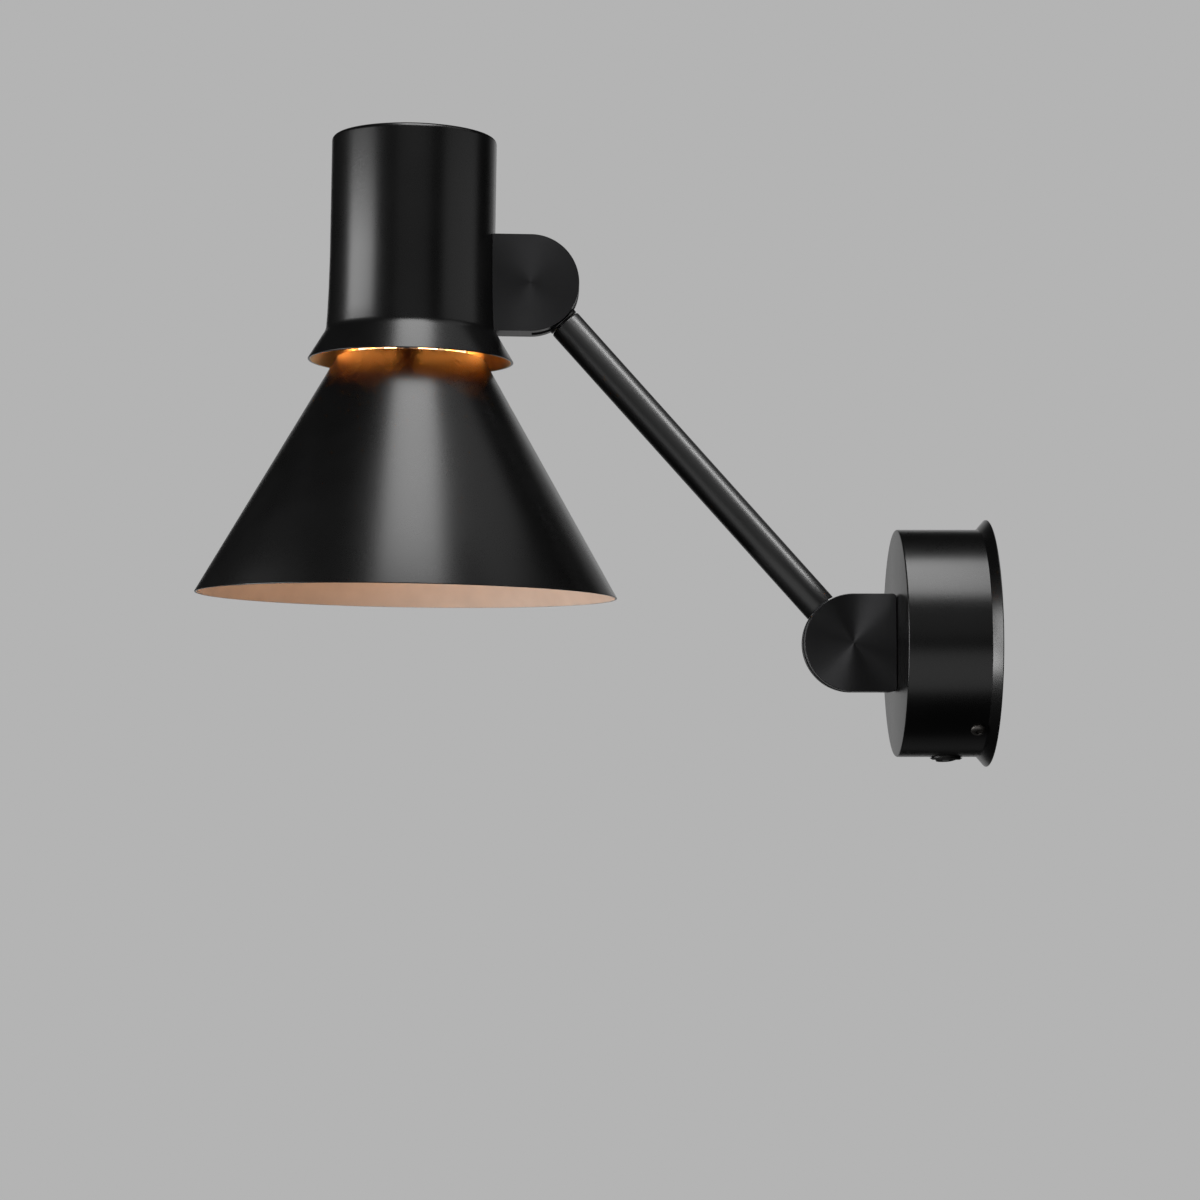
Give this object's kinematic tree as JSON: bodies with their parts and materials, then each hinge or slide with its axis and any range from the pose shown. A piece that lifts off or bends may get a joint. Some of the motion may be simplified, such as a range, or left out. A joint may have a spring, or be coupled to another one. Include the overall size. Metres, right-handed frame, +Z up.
{
  "type": "swing arm wall sconce",
  "caption": "Black swing arm wall sconce: round wall box, straight tube arm between two D-shaped friction knuckles, and a cylindrical lamp cap over a hanging conical shade.",
  "frame": {"origin": "centre of the wall plate's rear face, on the wall", "axes": "+Y into the wall, -Y out into the room, +Z up, +X along every hinge axis"},
  "size_m": [0.2004, 0.3761, 0.3009],
  "materials": {
    "satin_black_steel": "satin black powder coat on steel",
    "satin_black_aluminium": "satin black paint on spun aluminium",
    "shade_two_tone": "satin black outside and warm white inside, on spun aluminium",
    "black_anodised": "turned and black anodised",
    "zinc_steel": "zinc plated",
    "black_steel": "black oxide",
    "brass": "turned",
    "black_plastic": "matt moulded",
    "white_plastic": "matt moulded",
    "lead_rubber": "matt sleeve",
    "bulb_metal": "bright rolled shell",
    "bulb_glass": "frosted"
  },
  "bodies": {
    "wall_base": {"wall_plate": "zinc_steel", "wall_cover": "satin_black_steel", "cover_screw_left": "black_steel", "cover_screw_right": "black_steel", "backing_plate": "zinc_steel", "base_mount_screw_upper": "zinc_steel", "base_mount_screw_lower": "zinc_steel", "terminal_block": "white_plastic", "terminal_block_screw": "zinc_steel", "earth_screw": "brass", "switch_housing": "black_plastic", "switch_nut": "black_plastic", "switch_pivot_pin": "zinc_steel", "base_knuckle_body": "black_anodised", "base_knuckle_plate": "black_anodised", "base_plate_screw_1": "black_steel", "base_plate_screw_2": "black_steel", "base_pivot_screw": "black_steel", "base_friction_washer_front": "white_plastic", "base_friction_washer_rear": "white_plastic", "base_disc_spring": "zinc_steel", "lead_wall": "lead_rubber", "lead_switch": "lead_rubber"},
    "arm": {"arm_tube": "satin_black_steel", "lower_tongue": "zinc_steel", "lower_pivot_bush": "brass", "swivel_bush": "brass", "lead_arm": "lead_rubber"},
    "swivel": {"swivel_tongue": "black_anodised", "upper_pivot_bush": "brass", "swivel_circlip": "zinc_steel", "swivel_stop_pin": "zinc_steel"},
    "lamp_head": {"head_knuckle_body": "black_anodised", "head_knuckle_plate": "black_anodised", "head_plate_screw_1": "black_steel", "head_plate_screw_2": "black_steel", "head_pivot_screw": "black_steel", "head_friction_washer_front": "white_plastic", "head_friction_washer_rear": "white_plastic", "head_disc_spring": "zinc_steel", "lamp_cap": "satin_black_aluminium", "holder_bracket": "zinc_steel", "head_mount_screw_upper": "zinc_steel", "head_mount_screw_lower": "zinc_steel", "lamp_holder": "black_plastic", "holder_nut": "zinc_steel", "holder_contact": "brass", "shade_spider": "zinc_steel", "shade_ring": "black_plastic", "shade": "shade_two_tone", "shade_rivet_1": "zinc_steel", "shade_rivet_2": "zinc_steel", "shade_rivet_3": "zinc_steel", "bulb_glass": "bulb_glass", "bulb_base": "bulb_metal", "lead_head": "lead_rubber"},
    "rocker": {"switch_rocker": "black_plastic"}
  },
  "joints": [
    {"name": "arm_hinge", "type": "hinge", "parent": "wall_base", "child": "arm", "pos_m": [0, -0.0642, 0], "axis": [-1, 0, 0], "range_deg": [-116, 19]},
    {"name": "head_swivel", "type": "hinge", "parent": "arm", "child": "swivel", "pos_m": [0, -0.21717, 0.17109], "axis": [0, -0.6665, 0.7455], "range_deg": [-90, 90]},
    {"name": "head_tilt", "type": "hinge", "parent": "swivel", "child": "lamp_head", "pos_m": [0, -0.21717, 0.17109], "axis": [1, 0, 0], "range_deg": [-115, 20]},
    {"name": "switch_rock", "type": "hinge", "parent": "wall_base", "child": "rocker", "pos_m": [0, -0.0197, -0.053], "axis": [-1, 0, 0], "range_deg": [0, 14]}
  ]
}
